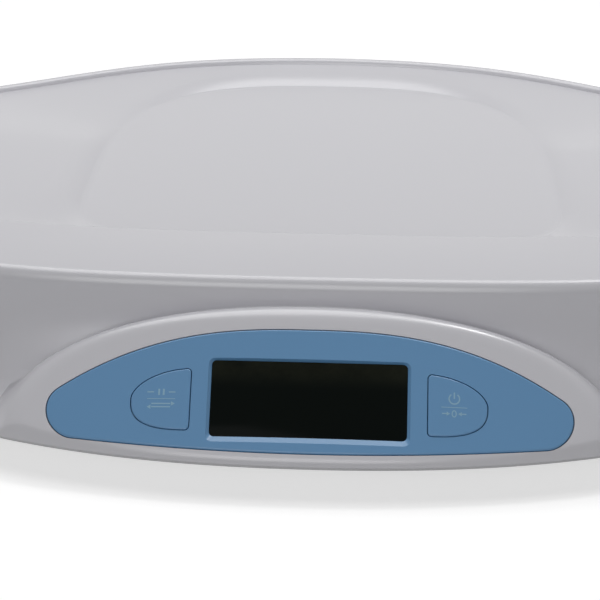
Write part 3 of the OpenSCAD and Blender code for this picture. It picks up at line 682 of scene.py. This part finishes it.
def shared_groups():
    """Effects that several materials use: drift of tone, handling marks and moulded grain."""
    if "Tone drift" in bpy.data.node_groups:
        return
    tree, into, out = new_group(
        "Tone drift", {"Color": (0.5, 0.5, 0.5, 1), "Scale": 12.0, "Amount": 0.04}, "Color")
    drift = noise(tree, into.outputs["Scale"], 3.0)
    swing = maths(tree, "MULTIPLY", maths(tree, "SUBTRACT", drift, 0.5), into.outputs["Amount"])
    tint = node(tree, "ShaderNodeHueSaturation")
    tree.links.new(maths(tree, "ADD", maths(tree, "MULTIPLY", swing, 2), 1), tint.inputs["Value"])
    tree.links.new(into.outputs["Color"], tint.inputs["Color"])
    tree.links.new(tint.outputs["Color"], out.inputs["Color"])

    tree, into, out = new_group(
        "Handling marks", {"Roughness": 0.3, "Scale": 18.0, "Amount": 0.08}, "Roughness")
    broad = noise(tree, into.outputs["Scale"], 4.0, 0.6)
    fine = maths(tree, "MULTIPLY", noise(tree, 260.0), 0.35)
    marks = maths(tree, "MULTIPLY", maths(tree, "ADD", broad, fine), 0.8)
    change = maths(tree, "MULTIPLY", maths(tree, "SUBTRACT", marks, 0.5), into.outputs["Amount"])
    tree.links.new(maths(tree, "ADD", into.outputs["Roughness"], change),
                   out.inputs["Roughness"])

    tree, into, out = new_group("Moulded grain", {"Scale": 1500.0, "Depth": 1.0}, "Height")
    grain = noise(tree, into.outputs["Scale"], 2.0, 0.6)
    swell = noise(tree, 9.0, 1.0)
    height = maths(tree, "ADD", maths(tree, "MULTIPLY", grain, into.outputs["Depth"]),
                   maths(tree, "MULTIPLY", swell, 0.6))
    tree.links.new(height, out.inputs["Height"])


def shader_of(mat):
    return next(n for n in mat.node_tree.nodes if n.type == "BSDF_PRINCIPLED")


def material(name, base, rough, drift=(12.0, 0.03), marks=(18.0, 0.08), grain=(1500.0, 1.0),
             bump=0.00001, **shader):
    """A principled material whose tone, roughness and surface vary over the piece.

    drift and marks are each a scale and an amount, grain is a scale and a depth, and bump is the
    height of the grain in metres."""
    shared_groups()
    mat = bpy.data.materials.new(name)
    mat.use_nodes = True
    tree, surface = mat.node_tree, shader_of(mat)
    for key, value in shader.items():
        surface.inputs[key.replace("_", " ")].default_value = value

    def use(group, **values):
        return node(tree, "ShaderNodeGroup", node_tree=bpy.data.node_groups[group], **values)

    tone = use("Tone drift", Color=(*base, 1), Scale=drift[0], Amount=drift[1])
    tree.links.new(tone.outputs["Color"], surface.inputs["Base Color"])
    wear = use("Handling marks", Roughness=rough, Scale=marks[0], Amount=marks[1])
    tree.links.new(wear.outputs["Roughness"], surface.inputs["Roughness"])
    relief = use("Moulded grain", Scale=grain[0], Depth=grain[1])
    bumps = node(tree, "ShaderNodeBump", Strength=1.0, Distance=bump)
    tree.links.new(relief.outputs["Height"], bumps.inputs["Height"])
    tree.links.new(bumps.outputs["Normal"], surface.inputs["Normal"])
    return mat


def named_material(key):
    """The object's finishes, each made once."""
    if key in bpy.data.materials:
        return bpy.data.materials[key]
    tint = bpy.context.scene.scale_colours
    finishes = {
        "casing_plastic": (tint.casing, 0.25, dict(
            drift=(5.0, 0.012), marks=(5.0, 0.02), bump=0.000002, Specular_IOR_Level=0.8)),
        "base_plastic": (tint.base, 0.5, dict(grain=(1300.0, 1.6), bump=0.00003)),
        "panel_plastic": (tint.panel, 0.26, dict(
            drift=(14.0, 0.02), marks=(8.0, 0.04), bump=0.000003)),
        "legend_print": (tint.legend, 0.5, dict(drift=(60.0, 0.05))),
        "foot_plastic": ((0.62, 0.62, 0.61), 0.4, {}),
        "pad_rubber": (tint.rubber, 0.75, dict(
            drift=(50.0, 0.12), grain=(900.0, 1.5), bump=0.00004)),
        "plated_steel": ((0.55, 0.55, 0.56), 0.28, dict(Metallic=1.0)),
        "board_green": ((0.016, 0.12, 0.045), 0.35, dict(drift=(80.0, 0.1))),
        "chip_black": ((0.02, 0.02, 0.021), 0.5, {}),
        "lead_red": ((0.35, 0.02, 0.02), 0.45, {}),
        "cable_white": ((0.6, 0.6, 0.59), 0.45, {}),
        "cell_jacket": ((0.03, 0.035, 0.04), 0.3, dict(drift=(40.0, 0.1), Metallic=0.3)),
        "display_glass": ((0.02, 0.024, 0.02), 0.15, {}),
    }
    base, rough, details = finishes[key]
    return material(key, base, rough, **details)


def window_material():
    """Near-black acrylic with a painted reflection: a faint lighter band in its upper part."""
    tint = bpy.context.scene.scale_colours
    form = casing_form()
    p = form.p
    mat = material("window_acrylic", tint.window, 0.1, marks=(40.0, 0.03), bump=0.000001,
                   Specular_IOR_Level=0.02)
    tree, surface = mat.node_tree, shader_of(mat)
    # A painted reflection: a patchy lighter band across the upper part of the window, mixed into
    # its colour
    split = node(tree, "ShaderNodeSeparateXYZ")
    tree.links.new(place_on_object(tree), split.inputs["Vector"])
    band = node(tree, "ShaderNodeMapRange", interpolation_type="SMOOTHSTEP")
    for end, share in (("From Min", REFLECTION_FROM), ("From Max", REFLECTION_TO)):
        height = p.face_h + (p.window_low + share * p.window_h) * form.sin
        band.inputs[end].default_value = height * MM
    tree.links.new(split.outputs["Z"], band.inputs["Value"])
    cloud = noise(tree, 90.0, 4.0, 0.7)
    patchy_reflection = maths(tree, "MULTIPLY", band.outputs["Result"], maths(tree, "MULTIPLY", cloud, 1.6))
    mix = node(tree, "ShaderNodeMix", data_type="RGBA")
    mix.inputs[6].default_value = (*tint.window, 1)
    mix.inputs[7].default_value = (*tint.painted_reflection, 1)
    tree.links.new(patchy_reflection, mix.inputs["Factor"])
    tree.links.new(mix.outputs[2], surface.inputs["Base Color"])
    return mat


# Pieces

class SCALE_OT_casing(bpy.types.Operator):
    """Builds the white casing with its dish, rim, cove and arched console"""
    bl_idname = "scale.casing"
    bl_label = "Casing"

    def execute(self, context):
        form = casing_form()
        wall = form.c.wall
        skin = self.closed_skin(self.outer_rings(form) + self.inner_rings(form))
        opening = plate("opening", grown(form.panel_outline(), form.p.gap),
                        -3 * wall - form.sag(form.p.panel_w / 2), 2 * wall)
        lay_on_face(opening, form)
        cut(skin, opening)
        round_edges(skin, OPENING_EDGE_R, 3, 60)
        skin = join("casing", [skin])
        smooth(skin, 38)
        hand_over(skin, "casing", "white_casing", named_material("casing_plastic"), "tray_shell")
        return {"FINISHED"}

    @staticmethod
    def outer_rings(form):
        """From the middle of the dish, over the rim and down to the bottom edge."""
        a = form.rays()
        return form.rows(a, 0, FLOOR_STEPS, DISH_STEPS, np.radians([18, 36, 54, 72, 90]),
                         np.radians(np.arange(0, 91, 10)),
                         np.linspace(0, SIDE_END, SIDE_ROWS)[1:]) + form.foot(a)

    @staticmethod
    def inner_rings(form):
        """Back up the inside of the wall to the middle of the dish, with fewer rings."""
        return form.rows(form.rays(), form.c.wall, (0, 0.5), (0, 0.03, 0.08, 0.2, 0.4, 0.7, 1),
                         np.radians([90]), np.radians([0, 30, 60, 90]),
                         np.linspace(0, 1, 24))[::-1]

    @staticmethod
    def closed_skin(rings):
        """Wraps a grid round the rings: its columns meet, and its ends close in the middle."""
        points = np.array(rings)
        m, n = points.shape[:2]
        bpy.ops.mesh.primitive_grid_add(x_subdivisions=n, y_subdivisions=m - 1, size=2)
        skin = bpy.context.object
        co = points_of(skin)
        column = np.rint((co[:, 0] + 1) / 2 * n).astype(int) % n
        row = np.rint((co[:, 1] + 1) / 2 * (m - 1)).astype(int)
        put_points(skin, points[row, column] * MM)
        edit(skin, merge_doubles)
        outward(skin)
        return skin


class SCALE_OT_panel(bpy.types.Operator):
    """Builds the blue panel with its sloping window frame and the holes for the buttons"""
    bl_idname = "scale.panel"
    bl_label = "Panel"

    def execute(self, context):
        form = casing_form()
        p = form.p
        panel = plate("panel", form.panel_outline(), p.proud - p.thickness, p.proud)
        edit(panel, lambda: self.round_rim(panel))
        edit(panel, lambda: self.add_back_wall(panel))
        cut(panel, plate("window cutter", form.window_outline(), CUT_LOW, -p.frame_depth))
        cut(panel, self.frame_cutter(form))
        for side in (-1, 1):
            cut(panel, plate("button cutter", form.button_outline(side, p.button_play),
                             CUT_LOW, CUT_HIGH))
        round_edges(panel, PANEL_EDGE_R, 3, 25)
        slice_across(panel, 4)
        bow(panel, form)
        lay_on_face(panel, form)
        smooth_flat_faces(panel, 30)
        hand_over(panel, "casing", "blue_panel", named_material("panel_plastic"), "control_panel")
        return {"FINISHED"}

    @staticmethod
    def round_rim(panel):
        """Rounds the front edge all round the panel."""
        bpy.ops.mesh.select_mode(type="EDGE")
        mesh = bmesh.from_edit_mesh(panel.data)
        for edge in mesh.edges:
            edge.select_set(all(v.co.z > 0 for v in edge.verts))
        bmesh.update_edit_mesh(panel.data)
        bpy.ops.mesh.bevel(offset=PANEL_RIM_R * MM, segments=4)
        bpy.ops.mesh.select_mode(type="VERT")

    @staticmethod
    def add_back_wall(panel):
        """Draws a wall back from the panel's edge, out of a ring inset in its back face."""
        mesh = bmesh.from_edit_mesh(panel.data)
        for face in mesh.faces:
            face.select_set(face.normal.z < -0.9)
        bmesh.update_edit_mesh(panel.data)
        bpy.ops.mesh.inset(thickness=PANEL_WALL_W * MM)
        bpy.ops.mesh.select_all(action="INVERT")
        for face in mesh.faces:
            if face.normal.z > -0.9:
                face.select_set(False)
        bmesh.update_edit_mesh(panel.data)
        bpy.ops.mesh.extrude_region_move(
            TRANSFORM_OT_translate={"value": (0, 0, -PANEL_WALL_H * MM)})

    @staticmethod
    def frame_cutter(form):
        """A block that widens from the window to the front edge of its sloping frame."""
        p = form.p
        inner = form.window_outline()
        outer = form.window_outline(p.frame_w, p.frame_low_w, FRAME_HIGH_W, FRAME_CORNER_R)
        flare = plate("frame cutter", inner, -p.frame_depth - 0.01, p.proud)

        def widened(co):
            for point in co:
                if point[2] > 0:
                    near = np.argmin([math.dist(point[:2], corner) for corner in inner])
                    point[:2] = outer[near]
            return co
        shape(flare, widened)
        return flare


class SCALE_OT_window(bpy.types.Operator):
    """Builds the dark lens behind the window"""
    bl_idname = "scale.window"
    bl_label = "Window"

    def execute(self, context):
        form = casing_form()
        depth = form.p.lens_depth
        outline = form.window_outline(*LENS_MARGINS, LENS_CORNER_R - form.p.window_r)
        lens = plate("window_lens", outline, -depth - LENS_T, -depth)
        round_edges(lens, LENS_EDGE_R, 2)
        lay_on_face(lens, form)
        smooth(lens)
        hand_over(lens, "casing", "window", window_material(), "display_lens")
        return {"FINISHED"}


def legend_marks(form, side):
    """Outlines of a button's printed marks, in millimetres on the flat face."""
    p = form.p
    reach = p.button_gap / 2 + p.button_w / 2
    mid_x = side * (reach - MARK_SHIFTS[side])
    mid_y = p.button_mid + form.lift(reach)

    def placed(x, y, points):
        return [(mid_x + x + u, mid_y + y + v) for u, v in points]

    def box(x, y, w, h):
        return placed(x, y, [(-w / 2, -h / 2), (w / 2, -h / 2), (w / 2, h / 2), (-w / 2, h / 2)])

    def head(x, y, size, way):
        """An arrowhead that points right, or left where way is -1."""
        tip, tail, half = way * size * 0.7, -way * size * 0.3, way * size * 0.6
        return placed(x, y, [(tip, 0), (tail, half), (tail, -half)])

    def band(x, y, rx, ry, w, start, stop):
        """Part of an oval ring of that width."""
        q = np.radians(np.linspace(start, stop, 28))
        outer = [(rx * math.cos(t), ry * math.sin(t)) for t in q]
        inner = [((rx - w) * math.cos(t), (ry - w) * math.sin(t)) for t in q[::-1]]
        return placed(x, y, outer + inner)

    if side < 0:
        return [box(-0.9, 2.7, 0.75, 2.5), box(0.9, 2.7, 0.75, 2.5), box(-4.2, 2.7, 2.6, 0.5),
                box(4.2, 2.7, 2.6, 0.5), box(0, 0, 11, 0.3), box(0, -1.9, 7.4, 0.5),
                box(0, -3.2, 7.4, 0.5), head(4.4, -1.9, 1.5, 1), head(-4.4, -3.2, 1.5, -1)]
    return [band(0, 2.9, 2.3, 2.3, 0.55, 125, 415), box(0, 4.2, 0.55, 2.6), box(0, -0.5, 10, 0.3),
            band(0, -3, 1.0, 1.45, 0.45, 0, 359.9), box(-3.6, -3, 2.2, 0.5), box(3.6, -3, 2.2, 0.5),
            head(-2.5, -3, 1.4, 1), head(2.5, -3, 1.4, -1)]


class SCALE_OT_buttons(bpy.types.Operator):
    """Builds the two button caps and the printed marks on them"""
    bl_idname = "scale.buttons"
    bl_label = "Buttons"

    def execute(self, context):
        form = casing_form()
        p = form.p
        top = p.proud + p.button_proud
        for key, side in (("hold", -1), ("zero", 1)):
            cap = plate("cap", form.button_outline(side), CAP_LOW, top)
            round_edges(cap, CAP_EDGE_R, 3)
            flange = plate("flange", form.button_outline(side, CAP_FLANGE_W),
                           CAP_LOW - CAP_FLANGE_T / 2, CAP_LOW + CAP_FLANGE_T / 2)
            cap = join(f"{key}_cap", [cap, flange])
            slice_across(cap, 3)
            bow(cap, form, CAP_BOW_ABOVE)
            lay_on_face(cap, form)
            smooth_flat_faces(cap)
            hand_over(cap, f"{key}_key", "blue_panel", named_material("panel_plastic"),
                      f"{key}_button")
            marks = [plate("mark", outline, top - MARK_SUNK, top + MARK_PROUD)
                     for outline in legend_marks(form, side)]
            legend = join(f"{key}_legend", marks)
            slice_across(legend, 3)
            bow(legend, form)
            lay_on_face(legend, form)
            hand_over(legend, f"{key}_key", "white_parts", named_material("legend_print"))
        return {"FINISHED"}


class SCALE_OT_underside(bpy.types.Operator):
    """Builds the base, the battery door and the foot retainers with their softened edges"""
    bl_idname = "scale.underside"
    bl_label = "Underside"

    def execute(self, context):
        self.softened("base_shell", "base", "casing", 0.3)
        self.softened("battery_door", "battery_cover", "door", 0.25)
        for corner in CORNERS:
            self.softened(f"retainer_{corner}", f"foot_ring_{corner}", "casing", 0.2)
        return {"FINISHED"}

    @staticmethod
    def softened(node_name, name, body, width):
        """A copy of a node with its edges rounded."""
        obj = new_object(name, frame["nodes"][node_name].data.copy())
        edit(obj, merge_doubles,
             lambda: bpy.ops.mesh.dissolve_limited(angle_limit=math.radians(0.5)))
        round_edges(obj, width, 2, 50)
        smooth_flat_faces(obj, 30)
        hand_over(obj, body, "grey_base", named_material("base_plastic"), node_name)


class SCALE_OT_feet(bpy.types.Operator):
    """Builds the rubber pads and the cups of the four feet"""
    bl_idname = "scale.feet"
    bl_label = "Feet"

    def execute(self, context):
        for corner in CORNERS:
            self.spun(corner, "foot_pad", self.pad_section, "soft_rubber", "pad_rubber")
            self.spun(corner, "foot_cup", self.cup_section, "white_parts", "foot_plastic")
        return {"FINISHED"}

    @staticmethod
    def spun(corner, kind, section, slot, finish):
        """A turned piece in the place of a node of the foot."""
        node_name = f"{kind}_{corner}"
        low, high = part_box(node_name)
        radius, base, top = (high.x - low.x) / 2 / MM, low.z / MM, high.z / MM
        piece = turned(node_name + "_round", section(radius, base, top), (low + high) / 2)
        smooth(piece, 50)
        hand_over(piece, f"foot_{corner}", slot, named_material(finish), node_name)

    @staticmethod
    def pad_section(r, base, top):
        """The pad's tread has two raised rings and a rounded edge."""
        groove = base + TREAD_DEPTH
        return [(0, groove), (r * 0.28, groove), (r * 0.32, base), (r * 0.5, base),
                (r * 0.54, groove), (r * 0.6, groove), (r * 0.64, base),
                (r - 0.7, base), (r - 0.2, base + 0.2), (r, base + 0.7), (r, top), (0, top)]

    @staticmethod
    def cup_section(r, base, top):
        """The cup holds the pad, hangs by its flange and bears on the load cell with its boss."""
        return [(0, base + PAD_RECESS), (PAD_SEAT_R, base + PAD_RECESS), (PAD_SEAT_R, base),
                (CUP_R - 0.5, base), (CUP_R - 0.15, base + 0.15), (CUP_R, base + 0.5),
                (CUP_R, CUP_FLANGE_Z), (r, CUP_FLANGE_Z), (r, CUP_FLANGE_Z + CUP_FLANGE_T),
                (CUP_BOSS_R, CUP_FLANGE_Z + CUP_FLANGE_T), (CUP_BOSS_R, top), (0, top)]


def turned(name, section, centre):
    """A turned piece: its half section is spun round a vertical axis."""
    bpy.ops.mesh.primitive_circle_add(vertices=len(section), radius=1, fill_type="NOTHING")
    obj = bpy.context.object
    put_points(obj, np.array([(x, 0, z) for x, z in section]) * MM)

    def spin():
        mesh = bmesh.from_edit_mesh(obj.data)
        on_axis = next(edge for edge in mesh.edges if all(abs(v.co.x) < 1e-9 for v in edge.verts))
        mesh.edges.remove(on_axis)
        bmesh.update_edit_mesh(obj.data)
        bpy.ops.mesh.select_all(action="SELECT")
        bpy.ops.mesh.spin(steps=72, angle=2 * math.pi, center=(0, 0, 0), axis=(0, 0, 1))
    edit(obj, spin)
    edit(obj, merge_doubles)
    outward(obj)
    put_points(obj, points_of(obj) + np.array([centre.x, centre.y, 0]))
    return join(name, [obj])


FINISH_OF_SLOT = {
    "white_casing": "casing_plastic", "grey_base": "base_plastic", "blue_panel": "panel_plastic",
    "window": "display_glass", "display": "display_glass", "white_parts": "foot_plastic",
    "soft_rubber": "pad_rubber", "board": "board_green", "chips": "chip_black",
    "steel": "plated_steel", "leads": "lead_red", "cables": "cable_white",
    "battery_jacket": "cell_jacket"}


class SCALE_OT_finishes(bpy.types.Operator):
    """Gives every carried-over piece its finish"""
    bl_idname = "scale.finishes"
    bl_label = "Finishes"

    def execute(self, context):
        slots = {s["node"]: s["material_slot"] for s in frame["record"]["subparts"]}
        for name, obj in frame["nodes"].items():
            paint(obj, named_material(FINISH_OF_SLOT[slots[name]]))
        return {"FINISHED"}


class SCALE_OT_stage(bpy.types.Operator):
    """Sets up the floor, the studio light and the camera"""
    bl_idname = "scale.stage"
    bl_label = "Studio"

    def execute(self, context):
        studio = context.scene.scale_studio
        bpy.ops.mesh.primitive_plane_add(size=8)
        floor = context.object
        floor.name = "studio_floor"
        floor.data.materials.append(self.floor_material())
        self.world(studio)
        self.area("key_light", (0.55, 0.42, 1.5), 0.2, studio.key_power)
        self.area("top_light", (-0.15, 0.45, 1.6), 1.4, studio.top_power)
        self.area("front_light", (-0.2, -2.2, 0.85), 1.3, studio.front_power)
        self.camera(studio)
        context.scene.view_settings.view_transform = "Standard"
        return {"FINISHED"}

    @staticmethod
    def seen_ray(tree):
        """1 for what the camera, a reflection or a clear piece sees."""
        path = node(tree, "ShaderNodeLightPath")
        one = maths(tree, "MAXIMUM", path.outputs["Is Camera Ray"], path.outputs["Is Glossy Ray"])
        return maths(tree, "MAXIMUM", one, path.outputs["Is Transmission Ray"])

    def floor_material(self):
        """Pale paint that looks white where it is seen, and lights the object only as paint."""
        mat = material("floor_paint", (0.62, 0.62, 0.62), 0.9, drift=(3.0, 0.01),
                       Specular_IOR_Level=0.0, Emission_Color=(1, 1, 1, 1))
        tree = mat.node_tree
        tree.links.new(maths(tree, "MULTIPLY", self.seen_ray(tree), 0.6),
                       shader_of(mat).inputs["Emission Strength"])
        return mat

    def world(self, studio):
        """White where it is seen, and a weak even light on the object."""
        world = bpy.data.worlds.new("studio_air")
        bpy.context.scene.world = world
        world.use_nodes = True
        tree = world.node_tree
        back = next(n for n in tree.nodes if n.type == "BACKGROUND")
        back.inputs["Color"].default_value = (1, 1, 1, 1)
        seen = self.seen_ray(tree)
        share = maths(tree, "MULTIPLY", maths(tree, "SUBTRACT", 1.0, seen), studio.ambient)
        tree.links.new(maths(tree, "ADD", seen, share), back.inputs["Strength"])

    @staticmethod
    def area(name, place, size, power):
        """A square lamp that faces the object."""
        light = bpy.data.lights.new(name, "AREA")
        light.shape = "SQUARE"
        light.size = size
        light.energy = power
        way = Vector(LAMPS_AIM) - Vector(place)
        turn = way.to_track_quat("-Z", "Y").to_matrix().to_4x4()
        new_object(name, light).matrix_world = Matrix.Translation(place) @ turn

    @staticmethod
    def camera(studio):
        """The camera at the photograph's place and angles."""
        turn, down, roll = np.radians([CAMERA_TURN, CAMERA_DOWN, CAMERA_ROLL])
        ahead = Vector((-math.sin(turn) * math.cos(down), math.cos(turn) * math.cos(down),
                        -math.sin(down)))
        right = Vector((math.cos(turn), math.sin(turn), 0))
        up = right.cross(ahead)
        right, up = (right * math.cos(roll) + up * math.sin(roll),
                     up * math.cos(roll) - right * math.sin(roll))
        place = Vector(CAMERA_PLACE) * MM + Vector((0, casing_form().y_lip * MM, 0))
        data = bpy.data.cameras.new("camera")
        data.lens = studio.lens
        data.sensor_width = SENSOR_W
        obj = new_object("camera", data)
        axes = Matrix((right, up, -ahead)).transposed().to_4x4()
        obj.matrix_world = Matrix.Translation(place) @ axes
        bpy.context.scene.camera = obj


class SCALE_PT_sidebar(bpy.types.Panel):
    """Lists the pieces and the sizes that can be changed"""
    bl_idname = "SCALE_PT_sidebar"
    bl_label = "Baby Weighing Scale"
    bl_space_type = "VIEW_3D"
    bl_region_type = "UI"
    bl_category = "Scale"

    def draw(self, context):
        for operator in PIECES:
            self.layout.operator(operator.bl_idname)
        for name in GROUPS:
            group = getattr(context.scene, name)
            box = self.layout.box()
            box.label(text=name.removeprefix("scale_").title())
            for prop in own_properties(group):
                box.prop(group, prop.identifier)


GROUPS = {"scale_casing": CasingSizes, "scale_panel": PanelSizes,
          "scale_colours": FinishColours, "scale_studio": StudioSettings}
PIECES = (SCALE_OT_finishes, SCALE_OT_casing, SCALE_OT_panel, SCALE_OT_window, SCALE_OT_buttons,
          SCALE_OT_underside, SCALE_OT_feet, SCALE_OT_stage)


def register():
    for cls in (*GROUPS.values(), *PIECES, SCALE_PT_sidebar):
        bpy.utils.register_class(cls)
    for name, cls in GROUPS.items():
        setattr(bpy.types.Scene, name, PointerProperty(type=cls))


def unregister():
    for name in GROUPS:
        delattr(bpy.types.Scene, name)
    for cls in (SCALE_PT_sidebar, *reversed(PIECES), *reversed(GROUPS.values())):
        bpy.utils.unregister_class(cls)


def main():
    register()
    bpy.ops.object.select_all(action="DESELECT")
    for piece in PIECES:
        step = piece.bl_idname.removeprefix("scale.")
        if getattr(bpy.ops.scale, step)() != {"FINISHED"}:
            raise RuntimeError(f"the {step} step didn't finish")


if __name__ == "__main__":
    main()
